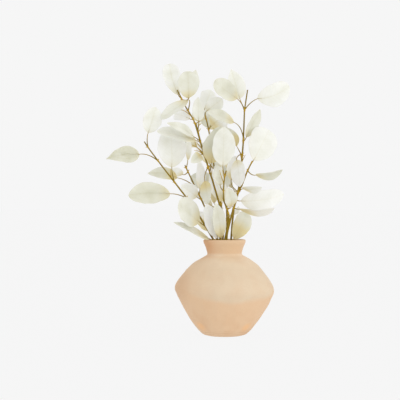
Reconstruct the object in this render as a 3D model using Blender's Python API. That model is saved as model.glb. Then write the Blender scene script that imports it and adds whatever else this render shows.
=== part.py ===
"""A vase of bleached eucalyptus: a thrown vase with a wide belly, and the leafy stems that stand in it.

The origin is the middle of the vase's foot, with +Z up. The front faces -Y.
"""

import math
import random
from collections import namedtuple

import bmesh
import bpy
from mathutils import Matrix, Vector
from mathutils.bvhtree import BVHTree

MM = 0.001
UP = Vector((0, 0, 1))
TO_VIEWER = Vector((0, -1, 0))

# The vase: driving sizes
VASE_HEIGHT = 174 * MM
BELLY_RADIUS = 89.5 * MM
BELLY_HEIGHT = 84 * MM
NECK_RADIUS = 31.2 * MM
NECK_HEIGHT = 147 * MM
LIP_RADIUS = 38.5 * MM
FOOT_RADIUS = 32 * MM
WALL = 5 * MM
FLOOR = 6 * MM
FLOOR_RADIUS = 28 * MM
CORNER_RUN = 5 * MM
CORNER_RISE = 1.5 * MM
BELLY_LEAN = 3 * MM
VASE_SIDES = 36
LIP_STEPS = 5

# The vase's outline in three stretches, each as shares of its spread in radius and of its rise
LOWER_WALL = [(0, 0), (0.17, 0.05), (0.45, 0.27), (0.74, 0.58), (0.94, 0.85), (1, 1)]
SHOULDER = [(0.93, 0.2), (0.72, 0.47), (0.48, 0.71), (0.235, 0.865), (0.06, 0.95), (0, 1)]
FLARE = [(0.04, 0.18), (0.39, 0.48), (0.88, 0.76)]

# The stems and leaves
STEM_RADIUS = 2.4 * MM
BRANCH_RADIUS = 1.6 * MM
TWIG_RADIUS = 1.1 * MM
STEM_SIDES = 6
FOOT_GAP = 0.3 * MM
SLOT_HEIGHT = 160 * MM
FOOT_RING = 26 * MM
SPIRAL_TURN = 75
STALK_SHARE = 0.32
ELBOW_SHARE = 0.45
STALK_RADIUS = 0.85 * MM
BLADE_THICK = 0.9 * MM
EDGE_THICK = 0.65 * MM
TIP_HALF_WIDTH = 0.6 * MM
WIDEST_POWER = 0.62
STALK_STATIONS = (0.0, 0.45, 0.8)
BLADE_STATIONS = (0.0, 0.12, 0.32, 0.56, 0.82, 1.0)
ACROSS = (-1, 0, 1)

# Each leaf's own form, drawn at random: how far its midrib bows out of its plane and to the side, how far
# its edges are lifted, all in mm, and its twist in degrees
BOW_RANGE = (-2, 5)
BEND_RANGE = (-3, 3)
CUP_RANGE = (1, 4)
TWIST_RANGE = (-14, 14)

# How leaves are kept apart: the room left round each, and the moves tried until a leaf is clear
ROOM = 1.1 * MM
DEPTH_MOVES = (0, 8, -8, 16, -16, 24, -24, 34, -34, 46, -46)
SWINGS = (0, 15, -15, 30, -30, 45, -45, 60, -60, 75, -75, 90, -90)
TURNS = (0, 15, -15, 30, -30)
SEED = 11

# Where the front view is seen from: the tables below give places as they look from there
EYE = Vector((-44.6, -2200, 245.7)) * MM

Shoot = namedtuple("Shoot", "name slot route leaves")
Leaf = namedtuple("Leaf", "stem root along base tip facing breadth turn point bend bow cup twist")

# Each stem: its slot in the neck (x, y), then its route above the mouth as (across, height, depth), then its
# leaves as (height of the root, (blade's base across, height), (tip across, height, depth), breadth, turn,
# point, bend), in mm. Depth is how far behind the vase's axis a place lies. Turn is how far a leaf faces
# aside, in degrees, point is how sharp its tip is, and bend is how far its midrib bows to the left of the
# way it grows.
SHOOTS = [
    Shoot(
        "stem_left_low",
        (-16, -8),
        [
            (-21, 175, -9),
            (-45, 215, -14),
            (-70, 251, -18),
            (-108, 300, -22),
            (-136, 337, -23),
            (-146, 352, -23),
        ],
        [
            (317, (-155, 329), (-216, 320, -34), 32, 15, 1.15, -3),
            (342, (-139, 368), (-125, 415, -30), 34, 12, 0.6, 0),
            (249, (-99, 257), (-175, 254, -46), 41, 15, 0.62, -3),
            (278, (-96, 305), (-97, 373, 2), 53, 10, 0.55, 0),
            (170, (-29, 176), (-93, 205, -36), 34, 40, 0.8, 0),
            (197, (-46, 206), (-84, 239, -52), 54, 10, 0.45, 0),
        ],
    ),
    Shoot(
        "stem_left_inner",
        (-12, 6),
        [(-14, 175, 7), (-35, 231, 10), (-57, 277, 12), (-72, 309, 14)],
        [
            (269, (-86, 286), (-140, 294, 14), 28, 35, 0.9, -3),
            (297, (-76, 292), (-104, 301, 36), 22, 35, 0.8, 0),
            (304, (-67, 318), (-65, 358, 20), 26, 65, 0.8, 0),
            (255, (-45, 266), (-46, 319, 26), 28, 50, 0.8, 0),
            (247, (-50, 251), (-79, 273, -4), 28, 25, 0.7, 0),
            (185, (-27, 189), (-52, 226, 30), 28, 25, 0.8, 0),
        ],
    ),
    Shoot(
        "stem_left_tall",
        (-4, -10),
        [
            (-3, 175, -11),
            (-1, 215, -15),
            (-9, 237, -18),
            (-22, 282, -20),
            (-37, 328, -20),
            (-50, 373, -17),
            (-57, 393, -15),
            (-70, 414, -13),
            (-86, 446, -12),
        ],
        [
            (431, (-84, 437), (-100, 494, 0), 34, 10, 0.5, 4),
            (428, (-66, 431), (-67, 480, -40), 38, 12, 0.4, 0),
            (424, (-63, 435), (-52, 483, 8), 26, 30, 0.8, 0),
            (408, (-67, 427), (-116, 392, -40), 30, 45, 0.7, 0),
            (393, (-63, 393), (-91, 402, 14), 25, 15, 0.6, 0),
            (326, (-52, 354), (-123, 371, -44), 36, 50, 0.6, -3),
            (352, (-56, 361), (-105, 386, -45), 21, 35, 0.8, 0),
            (328, (-43, 328), (-61, 314, -62), 20, 0, 0.7, 0),
            (306, (-36, 280), (-30, 238, -42), 26, 40, 0.8, 0),
            (304, (-24, 313), (-7, 380, -46), 40, 10, 0.75, 3),
            (385, (-47, 390), (-48, 433, 10), 24, 20, 0.8, 0),
        ],
    ),
    Shoot(
        "stem_centre",
        (-8, 2),
        [(-8, 175, 3), (-6, 237, 18), (-15, 282, 28), (-25, 346, 30), (-29, 375, 28), (-37, 406, 28)],
        [
            (392, (-32, 408), (-4, 430, 8), 28, 10, 0.6, 0),
            (398, (-36, 412), (-25, 446, 40), 34, 15, 0.6, 0),
            (340, (-18, 350), (2, 385, 44), 34, 25, 0.8, 0),
            (374, (-24, 380), (3, 404, 24), 36, 15, 0.6, 0),
            (300, (-27, 312), (-50, 345, 46), 32, 25, 0.8, 0),
            (250, (-5, 262), (-2, 310, 30), 34, 20, 0.8, 0),
            (238, (-19, 240), (-26, 280, 34), 20, 40, 0.8, 0),
        ],
    ),
    Shoot(
        "stem_front",
        (2, -16),
        [
            (1, 175, -18),
            (8, 211, -27),
            (6, 224, -30),
            (2, 236, -34),
            (-2, 249, -38),
            (-1, 278, -46),
            (3, 299, -52),
        ],
        [
            (290, (-3, 308), (-1, 378, -60), 42, 10, 0.6, 0),
            (222, (-1, 243), (-25, 299, 34), 29, 20, 0.75, 0),
            (164, (-12, 176), (-33, 238, -44), 28, 15, 0.7, 0),
            (168, (-6, 177), (-16, 240, -56), 26, 20, 0.7, 0),
            (230, (12, 234), (6, 268, -60), 24, 20, 0.7, 0),
            (262, (-8, 272), (-16, 310, -30), 26, 30, 0.8, 0),
        ],
    ),
    Shoot(
        "stem_right_tall",
        (5, -3),
        [
            (4, 175, -3),
            (6, 191, -4),
            (16, 229, -4),
            (25, 260, -4),
            (30, 304, 0),
            (34, 349, 6),
            (36, 400, 12),
            (37, 413, 14),
            (42, 446, 18),
        ],
        [
            (410, (60, 430), (118, 453, 4), 43, 10, 0.55, -5),
            (411, (28, 430), (12, 484, -4), 36, 10, 0.95, 0),
            (408, (23, 430), (-19, 461, -24), 35, 15, 0.45, 0),
            (357, (17, 387), (-32, 406, -12), 28, 40, 0.8, 0),
            (352, (40, 360), (65, 411, -6), 28, 45, 0.8, 0),
            (325, (22, 344), (3, 378, 18), 24, 40, 0.8, 0),
            (262, (34, 266), (68, 269, -30), 24, 55, 0.8, 0),
            (246, (30, 244), (108, 256, 12), 41, 22, 0.6, -3),
            (231, (27, 229), (91, 231, -38), 34, 66, 0.7, -8),
            (168, (17, 175), (41, 222, 22), 34, 15, 0.4, 0),
            (330, (22, 319), (28, 270, -8), 32, 20, 0.7, 0),
            (260, (12, 282), (20, 326, 24), 28, 30, 0.8, 0),
        ],
    ),
    Shoot(
        "stem_right_tall",
        None,
        [(26, 263, -4), (31, 271, -8), (41, 297, -15), (51, 317, -22)],
        [
            (314, (53, 318), (81, 373, -32), 56, 8, 0.4, 0),
            (299, (57, 291), (106, 301, -40), 30, 60, 0.8, 0),
        ],
    ),
]

# The stems behind, hidden in the front view: pairs of leaves from a height up, each pair a quarter turn on
PAIRED_SHOOTS = [
    Shoot(
        "stem_back_left",
        (-8, 16),
        [(-8, 175, 18), (-9, 237, 40), (-22, 282, 58), (-37, 328, 77), (-52, 385, 98)],
        215,
    ),
    Shoot(
        "stem_back_centre",
        (4, 18),
        [(4, 175, 20), (4, 260, 60), (-2, 350, 104), (-6, 400, 128)],
        205,
    ),
    Shoot(
        "stem_back_right",
        (15, 9),
        [(12, 175, 12), (17, 229, 34), (25, 262, 50), (30, 304, 68), (34, 342, 86)],
        210,
    ),
]
PAIR_SPACING = 42 * MM
PAIR_LEAF = 72 * MM
PAIR_BREADTH = 36
PAIR_RISE = 0.75
PAIR_POINT = 0.75

# Gaps among the leaves, as (across, height, radius) in mm: no leaf of the stems behind shows through them
OPEN_PLACES = [
    (-74, 385, 6),
    (-130, 357, 8),
    (-81, 309, 6),
    (-59, 306, 7),
    (-35, 308, 4),
    (-90, 264, 8),
    (12, 417, 12),
    (17, 373, 6),
    (24, 333, 6),
    (41, 315, 5),
    (50, 406, 6),
    (-39, 368, 5),
    (50, 280, 8),
    (-30, 457, 6),
    (-39, 448, 5),
    (45, 355, 6),
    (83, 313, 6),
    (34, 253, 4),
    (28, 240, 4),
]


def seen(across, height, depth):
    """The point at that depth, in mm, which the front view shows at that place on the plane of the axis."""
    flat = Vector((across, 0, height)) * MM
    return EYE + (flat - EYE) * ((depth * MM - EYE.y) / -EYE.y)


def seen_height(point):
    """The height on the plane of the axis at which the front view shows a point."""
    return EYE.z + (point.z - EYE.z) * EYE.y / (EYE.y - point.y)


def curve_through(points, steps=2):
    """A smooth curve through the points, with that many samples for each span between two of them."""
    ends = [2 * points[0] - points[1], *points, 2 * points[-1] - points[-2]]
    curve = []
    for i in range(len(points) - 1):
        a, b, c, d = ends[i : i + 4]
        for k in range(steps):
            t = k / steps
            square = (2 * a - 5 * b + 4 * c - d) * t**2
            cube = (3 * b - a - 3 * c + d) * t**3
            curve.append(0.5 * (2 * b + (c - a) * t + square + cube))
    return [*curve, points[-1].copy()]


def loft(rings, mirrored_from=None):
    """Points and triangles of a closed skin over rings of points. Sides of a ring from mirrored_from on are
    split along the other diagonal, so that both faces of a blade are split alike."""
    count = len(rings[0])
    faces = []
    for i in range(len(rings) - 1):
        for j in range(count):
            a = i * count + j
            b = i * count + (j + 1) % count
            if mirrored_from is None or j < mirrored_from:
                faces += [(a, b, b + count), (a, b + count, a + count)]
            else:
                faces += [(a, b, a + count), (b, b + count, a + count)]
    for start in (0, (len(rings) - 1) * count):
        for j in range(count // 2 - 1):
            a = start + j
            b = start + count - 1 - j
            faces += [(a, a + 1, b - 1), (a, b - 1, b)]
    return [p for ring in rings for p in ring], faces


def round_ring(centre, direction, beside, radius, sides):
    """Points round a centre, square to a direction, the first of them half a step below -beside."""
    normal = direction.cross(beside).normalized()
    beside = normal.cross(direction).normalized()
    angles = [math.pi + math.tau * (k + 0.5) / sides for k in range(sides)]
    return [centre + (beside * math.cos(a) + normal * math.sin(a)) * radius for a in angles]


def tube(path, base_radius, tip_radius, sides, flat_foot):
    """Rings of a tapering tube along a path. A flat foot is cut level, to stand on the vase's floor."""
    beside = Vector((1, 0, 0))
    rings = []
    for i, point in enumerate(path):
        direction = path[min(i + 1, len(path) - 1)] - path[max(i - 1, 0)]
        if i == 0 and flat_foot:
            direction = UP
        radius = base_radius + (tip_radius - base_radius) * i / (len(path) - 1)
        rings.append(round_ring(point, direction.normalized(), beside, radius, sides))
    return rings


def stem_path(shoot, parent=None):
    """A shoot's line from its foot in the vase, or from its root on the parent stem's line, to its tip."""
    above = [seen(*place) for place in shoot.route]
    if parent:
        above[0] = place_on(parent, shoot.route[0][1])[0]
        return curve_through(above)
    slot = Vector((*shoot.slot, 0)) * MM
    turn = math.atan2(slot.y, slot.x) + math.radians(SPIRAL_TURN)
    foot = Vector((math.cos(turn), math.sin(turn), 0)) * FOOT_RING + UP * (FLOOR + FOOT_GAP)
    through_neck = slot + UP * SLOT_HEIGHT
    return curve_through([foot, foot.lerp(through_neck, 0.5), through_neck, *above])


def place_on(path, height):
    """The place on a path which the front view shows at that height in mm, and the direction there."""
    for start, end in zip(path[2:], path[3:]):
        low = seen_height(start)
        high = seen_height(end)
        if low <= height * MM < high:
            return start.lerp(end, (height * MM - low) / (high - low)), (end - start).normalized()
    return path[-1].copy(), (path[-1] - path[-2]).normalized()


def leaf_rings(leaf, stalk_stations, blade_stations, across, room=0.0):
    """Rings of a leaf from its root in the stem, along its stalk, to the tip of its blade."""
    stalk = (leaf.base - leaf.root).length
    run = leaf.tip - leaf.base
    axis = run.normalized()
    facing = (leaf.facing - axis * axis.dot(leaf.facing)).normalized()
    facing.rotate(Matrix.Rotation(math.radians(leaf.turn - leaf.twist / 2), 3, axis))
    elbow = leaf.base - ELBOW_SHARE * stalk * axis
    sides = 2 * len(across)
    rings = []
    for s in stalk_stations:
        centre = leaf.root * (1 - s) ** 2 + elbow * 2 * s * (1 - s) + leaf.base * s**2
        direction = ((elbow - leaf.root) * (1 - s) + (leaf.base - elbow) * s).normalized()
        rings.append(round_ring(centre, direction, facing.cross(axis), STALK_RADIUS + room, sides))
    widest = WIDEST_POWER / (WIDEST_POWER + leaf.point)
    fullest = widest**WIDEST_POWER * (1 - widest) ** leaf.point
    for u in blade_stations:
        normal = facing.copy()
        normal.rotate(Matrix.Rotation(math.radians(leaf.twist * u), 3, axis))
        side = normal.cross(axis)
        arch = 4 * u * (1 - u)
        centre = leaf.base + run * u + (normal * leaf.bow + side * leaf.bend) * MM * arch
        half = leaf.breadth / 2 * MM * u**WIDEST_POWER * (1 - u) ** leaf.point / fullest
        half = max(half, STALK_RADIUS * (1 - u) + TIP_HALF_WIDTH * u) + room
        lift = leaf.cup * MM * math.sin(math.pi * u)
        upper = []
        lower = []
        for v in across:
            middle = centre + side * half * v + normal * lift * abs(v) ** 1.3
            thick = BLADE_THICK + (EDGE_THICK - BLADE_THICK) * abs(v) + 2 * room
            upper.append(middle + normal * thick / 2)
            lower.append(middle - normal * thick / 2)
        rings.append([*lower, *reversed(upper)])
    return rings


def leaf_skin(leaf, room=0.0, outer_only=False):
    """Points and triangles of a leaf. Its outer part leaves out the stalk's root, which is in the stem."""
    stations = STALK_STATIONS[1:] if outer_only else STALK_STATIONS
    return loft(leaf_rings(leaf, stations, BLADE_STATIONS, ACROSS, room), len(ACROSS))


def chance_form(chance):
    """A leaf's bow, cup and twist."""
    return chance.uniform(*BOW_RANGE), chance.uniform(*CUP_RANGE), chance.uniform(*TWIST_RANGE)


def table_leaves(shoot, path, chance):
    """The leaves which a stem's table lists, each with a little chance in how its blade is bent."""
    leaves = []
    for height, (base_across, base_up), (across, up, depth), breadth, turn, point, bend in shoot.leaves:
        root, along = place_on(path, height)
        tip = seen(across, up, depth)
        stalk = (seen(base_across, base_up, root.y / MM) - root).length
        share = stalk / (stalk + math.hypot(across - base_across, up - base_up) * MM)
        base = seen(base_across, base_up, (root.y + (tip.y - root.y) * share) / MM)
        form = (breadth, turn, point, bend, *chance_form(chance))
        leaves.append(Leaf(shoot.name, root, along, base, tip, TO_VIEWER, *form))
    return leaves


def paired_leaves(shoot, path, chance):
    """Leaves in pairs up a stem, the two of a pair opposite each other, each pair a quarter turn on."""
    leaves = []
    turn = chance.uniform(0, 90)
    height = shoot.leaves
    while height < seen_height(path[-1]) / MM:
        root, along = place_on(path, height)
        for half_turn in (0, 180):
            outward = along.orthogonal().normalized()
            outward.rotate(Matrix.Rotation(math.radians(turn + half_turn), 3, along))
            reach = (outward + along * PAIR_RISE).normalized() * PAIR_LEAF * chance.uniform(0.85, 1.1)
            base = root + STALK_SHARE * reach.length * (reach.normalized() + 0.5 * along).normalized()
            breadth = PAIR_BREADTH * chance.uniform(0.85, 1.15)
            bend = chance.uniform(*BEND_RANGE)
            form = (breadth, 0, PAIR_POINT, bend, *chance_form(chance))
            leaves.append(Leaf(shoot.name, root, along, base, root + reach, along, *form))
        turn += 90 + chance.uniform(-15, 15)
        height += PAIR_SPACING / MM * max(along.z, 0.3)
    return leaves


def placings(leaf):
    """A leaf as it is drawn, then moved little by little: along the line of sight, or round a back stem."""
    if leaf.facing is TO_VIEWER:
        sight = (leaf.tip - EYE).normalized()
        stalk = (leaf.base - leaf.root).length
        share = stalk / (stalk + (leaf.tip - leaf.base).length)
        for move in DEPTH_MOVES:
            base = leaf.base + sight * move * share * MM
            tip = leaf.tip + sight * move * MM
            for turn in TURNS:
                yield leaf._replace(base=base, tip=tip, turn=leaf.turn + turn)
    else:
        for swing in SWINGS:
            about = Matrix.Rotation(math.radians(swing), 3, leaf.along)
            base = leaf.root + about @ (leaf.base - leaf.root)
            tip = leaf.root + about @ (leaf.tip - leaf.root)
            for turn in TURNS:
                yield leaf._replace(base=base, tip=tip, turn=leaf.turn + turn)


def fills_gap(leaf):
    """Whether a leaf of the stems behind would show through one of the open places."""
    for ring in leaf_rings(leaf, (), BLADE_STATIONS, ACROSS):
        centre = sum(ring, Vector()) / len(ring)
        half = (ring[0] - ring[len(ACROSS) - 1]).length / 2
        height = seen_height(centre)
        sideways = EYE.x + (centre.x - EYE.x) * EYE.y / (EYE.y - centre.y)
        for across, up, radius in OPEN_PLACES:
            if math.hypot(sideways - across * MM, height - up * MM) < half + radius * MM:
                return True
    return False


def tree_of(skins):
    """One search tree over the triangles of several skins."""
    points = []
    faces = []
    for skin_points, skin_faces in skins:
        faces += [tuple(k + len(points) for k in face) for face in skin_faces]
        points += skin_points
    return BVHTree.FromPolygons(points, faces)


def settled(leaves, vase, stems):
    """The leaves, each moved until its room is clear of the vase, the stems and the leaves before it. The
    stalk's root may touch its own stem. A leaf that finds no clear place is left out."""
    kept = []
    placed = list(stems)
    for leaf in leaves:
        own = tree_of([skin for name, skin in placed if name == leaf.stem])
        others = tree_of([vase, *[skin for name, skin in placed if name != leaf.stem]])
        for moved in placings(leaf):
            if moved.facing is not TO_VIEWER and fills_gap(moved):
                continue
            if tree_of([leaf_skin(moved, ROOM)]).overlap(others):
                continue
            if not tree_of([leaf_skin(moved, ROOM, True)]).overlap(own):
                kept.append(moved)
                placed.append((leaf.stem, leaf_skin(moved)))
                break
    return kept


def vase_outline():
    """The vase's outline as (radius, height), from the middle of its foot to the middle of its floor."""
    outer = [(FOOT_RADIUS + (BELLY_RADIUS - FOOT_RADIUS) * s, BELLY_HEIGHT * t) for s, t in LOWER_WALL]
    rise = NECK_HEIGHT - BELLY_HEIGHT
    outer += [(NECK_RADIUS + (BELLY_RADIUS - NECK_RADIUS) * s, BELLY_HEIGHT + rise * t) for s, t in SHOULDER]
    rise = VASE_HEIGHT - NECK_HEIGHT
    outer += [(NECK_RADIUS + (LIP_RADIUS - NECK_RADIUS) * s, NECK_HEIGHT + rise * t) for s, t in FLARE]
    inner = []
    for k in range(2, len(outer) - 1):
        run = outer[k + 1][0] - outer[k - 1][0]
        rise = outer[k + 1][1] - outer[k - 1][1]
        length = math.hypot(run, rise)
        inner.append((outer[k][0] - WALL * rise / length, outer[k][1] + WALL * run / length))
    lip = []
    for k in range(LIP_STEPS + 1):
        angle = math.pi * k / LIP_STEPS
        across = LIP_RADIUS - WALL / 2 + WALL / 2 * math.cos(angle)
        lip.append((across, VASE_HEIGHT - WALL / 2 + WALL / 2 * math.sin(angle)))
    floor = [(FLOOR_RADIUS + CORNER_RUN, FLOOR + CORNER_RISE), (FLOOR_RADIUS, FLOOR), (0, FLOOR)]
    return [(0, 0), *outer, *lip, *reversed(inner), *floor]


def make_vase(ceramic):
    """The vase: its outline spun about the axis, with the line round its belly a little aslant."""
    shell = bmesh.new()
    line = [shell.verts.new((radius, 0, height)) for radius, height in vase_outline()]
    edges = [shell.edges.new(pair) for pair in zip(line, line[1:])]
    turn = {"cent": (0, 0, 0), "axis": UP, "angle": math.tau, "steps": VASE_SIDES}
    bmesh.ops.spin(shell, geom=[*line, *edges], **turn)
    bmesh.ops.remove_doubles(shell, verts=shell.verts, dist=0.01 * MM)
    for vert in shell.verts:
        bell = math.sin(math.pi * min(vert.co.z / NECK_HEIGHT, 1)) ** 2
        vert.co.z -= BELLY_LEAN * bell * vert.co.x / BELLY_RADIUS
    return solid("vase", shell, [ceramic])


def material(name, colour, roughness):
    """A plain material with the given base colour."""
    made = bpy.data.materials.new(name)
    made.use_nodes = True
    shader = made.node_tree.nodes["Principled BSDF"]
    shader.inputs["Base Color"].default_value = (*colour, 1)
    shader.inputs["Roughness"].default_value = roughness
    return made


def solid(name, shell, materials):
    """An object made from a bmesh, its faces turned out and shaded smooth, which takes those materials."""
    bmesh.ops.recalc_face_normals(shell, faces=shell.faces)
    mesh = bpy.data.meshes.new(name)
    shell.to_mesh(mesh)
    shell.free()
    for made in materials:
        mesh.materials.append(made)
    mesh.shade_smooth()
    made = bpy.data.objects.new(name, mesh)
    bpy.context.scene.collection.objects.link(made)
    return made


def shell_of(skin, blade_from=None):
    """A bmesh with that skin. Triangles from blade_from on take the second material."""
    points, faces = skin
    shell = bmesh.new()
    verts = [shell.verts.new(point) for point in points]
    for i, face in enumerate(faces):
        made = shell.faces.new([verts[k] for k in face])
        made.material_index = int(blade_from is not None and i >= blade_from)
    return shell


def join(body, others):
    """Join other solids to a body with one Boolean union over a collection, then remove them."""
    group = bpy.data.collections.new(body.name + "_leaves")
    for other in others:
        group.objects.link(other)
    union = body.modifiers.new("Join", "BOOLEAN")
    union.operation = "UNION"
    union.operand_type = "COLLECTION"
    union.collection = group
    graph = bpy.context.evaluated_depsgraph_get()
    mesh = bpy.data.meshes.new_from_object(body.evaluated_get(graph))
    body.modifiers.remove(union)
    body.data = mesh
    for other in others:
        bpy.data.objects.remove(other)
    bpy.data.collections.remove(group)


def make_plant(vase):
    """Grow every stem and leaf, keep the leaves clear of the vase and each other, fuse each stem's own."""
    chance = random.Random(SEED)
    paths = {}
    tubes = []
    leaves = []
    for shoot in [*SHOOTS, *PAIRED_SHOOTS]:
        parent = paths.get(shoot.name)
        path = stem_path(shoot, parent)
        paths.setdefault(shoot.name, path)
        grow = paired_leaves if shoot in PAIRED_SHOOTS else table_leaves
        leaves += grow(shoot, path, chance)
        radius = BRANCH_RADIUS if parent else STEM_RADIUS
        tubes.append((shoot.name, loft(tube(path, radius, TWIG_RADIUS, STEM_SIDES, not parent))))
    vase_points = [vert.co.copy() for vert in vase.data.vertices]
    vase_faces = [tuple(polygon.vertices) for polygon in vase.data.polygons]
    leaves = settled(leaves, (vase_points, vase_faces), tubes)

    bark = material("olive twig", (0.36, 0.26, 0.11), 0.7)
    blade = material("bleached leaf", (0.82, 0.8, 0.72), 0.6)
    blade_from = 2 * 2 * len(ACROSS) * len(STALK_STATIONS)
    for name in paths:
        shells = [shell_of(skin) for owner, skin in tubes if owner == name]
        shells += [shell_of(leaf_skin(leaf), blade_from) for leaf in leaves if leaf.stem == name]
        body, *others = [solid(name, shell, [bark, blade]) for shell in shells]
        join(body, others)


for old in list(bpy.data.objects):
    bpy.data.objects.remove(old)
make_plant(make_vase(material("bisque ceramic", (0.78, 0.55, 0.38), 0.7)))
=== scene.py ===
"""A vase of bleached eucalyptus, dressed for its picture: the clay vase, and each stem with its leaves.

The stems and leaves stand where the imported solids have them, by the same tables and the same rule.
"""

import math
import random
from collections import namedtuple
from functools import partialmethod

import bmesh
import bpy
import numpy as np
from mathutils import Matrix, Vector
from mathutils.bvhtree import BVHTree


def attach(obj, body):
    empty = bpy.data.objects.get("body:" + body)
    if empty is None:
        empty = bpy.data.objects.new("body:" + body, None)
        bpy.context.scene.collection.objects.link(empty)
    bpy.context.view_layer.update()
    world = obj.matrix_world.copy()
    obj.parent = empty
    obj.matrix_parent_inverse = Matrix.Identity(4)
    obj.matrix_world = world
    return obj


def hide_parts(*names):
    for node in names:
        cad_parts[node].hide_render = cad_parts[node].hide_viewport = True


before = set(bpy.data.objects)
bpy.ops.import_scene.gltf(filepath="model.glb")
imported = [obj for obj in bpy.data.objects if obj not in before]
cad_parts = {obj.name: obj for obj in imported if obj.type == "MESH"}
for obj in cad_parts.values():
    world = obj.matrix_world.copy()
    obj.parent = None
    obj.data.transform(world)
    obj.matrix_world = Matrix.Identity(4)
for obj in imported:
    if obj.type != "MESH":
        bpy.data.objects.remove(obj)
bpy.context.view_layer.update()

MM = 0.001
UP = Vector((0, 0, 1))
TO_VIEWER = Vector((0, -1, 0))

# The vase: driving sizes
VASE_HEIGHT = 174 * MM
BELLY_RADIUS = 89.5 * MM
BELLY_HEIGHT = 84 * MM
NECK_RADIUS = 31.2 * MM
NECK_HEIGHT = 147 * MM
LIP_RADIUS = 38.5 * MM
FOOT_RADIUS = 32 * MM
WALL = 5 * MM
FLOOR = 6 * MM
FLOOR_RADIUS = 28 * MM
CORNER_RUN = 5 * MM
CORNER_RISE = 1.5 * MM
BELLY_LEAN = 3 * MM
VASE_SIDES = 36
LIP_STEPS = 5

# The vase's outline in three stretches, each as shares of its spread in radius and of its rise
LOWER_WALL = [(0, 0), (0.17, 0.05), (0.45, 0.27), (0.74, 0.58), (0.94, 0.85), (1, 1)]
SHOULDER = [(0.93, 0.2), (0.72, 0.47), (0.48, 0.71), (0.235, 0.865), (0.06, 0.95), (0, 1)]
FLARE = [(0.04, 0.18), (0.39, 0.48), (0.88, 0.76)]

# Where the fire marked the clay, and where shade is painted on the neck and on the left side: the middle of
# each mark, how far it reaches, both in mm, and its colour
FIRE_MARKS_AND_PAINTED_SHADE = [
    ((-42, -33, 20), 15, "#F3BD86"),
    ((37, -38, 19), 15, "#F3BD86"),
    # Painted shade: the left of the neck, away from the lamp, the front of the neck, under the lip, and the
    # left of the belly
    ((-38, -14, 168), 40, "#D09A6A"),
    ((12, -34, 166), 42, "#D9BA95"),
    ((-84, -30, 90), 46, "#D3AE8A"),
]

# The stems and leaves
STEM_RADIUS = 2.4 * MM
BRANCH_RADIUS = 1.6 * MM
TWIG_RADIUS = 1.1 * MM
STEM_SIDES = 6
FOOT_GAP = 0.3 * MM
SLOT_HEIGHT = 160 * MM
FOOT_RING = 26 * MM
SPIRAL_TURN = 75
STALK_SHARE = 0.32
ELBOW_SHARE = 0.45
STALK_RADIUS = 0.85 * MM
BLADE_THICK = 0.9 * MM
EDGE_THICK = 0.65 * MM
TIP_HALF_WIDTH = 0.6 * MM
WIDEST_POWER = 0.62
LIFT_POWER = 1.3
STALK_STATIONS = (0.0, 0.45, 0.8)
BLADE_STATIONS = (0.0, 0.12, 0.32, 0.56, 0.82, 1.0)
ACROSS = (-1, 0, 1)

# Each leaf's own form, drawn at random: how far its midrib bows out of its plane and to the side, how far
# its edges are lifted, in mm, and its twist in degrees
BOW_RANGE = (-2, 5)
BEND_RANGE = (-3, 3)
CUP_RANGE = (1, 4)
TWIST_RANGE = (-14, 14)

# How leaves are kept apart: the room left round each, and the moves tried until a leaf is clear, in mm along
# the line of sight, in degrees round a back stem, and in degrees about the leaf's own line
ROOM = 1.1 * MM
DEPTH_MOVES = (0, 8, -8, 16, -16, 24, -24, 34, -34, 46, -46)
SWINGS = (0, 15, -15, 30, -30, 45, -45, 60, -60, 75, -75, 90, -90)
TURNS = (0, 15, -15, 30, -30)
SEED = 11

# Where the front view is seen from: the tables below give places as they look from there
EYE = Vector((-44.6, -2200, 245.7)) * MM

Shoot = namedtuple("Shoot", "name slot route leaves")
Leaf = namedtuple("Leaf", "stem root along base tip facing breadth turn point bend bow cup twist tone gold")
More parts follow.
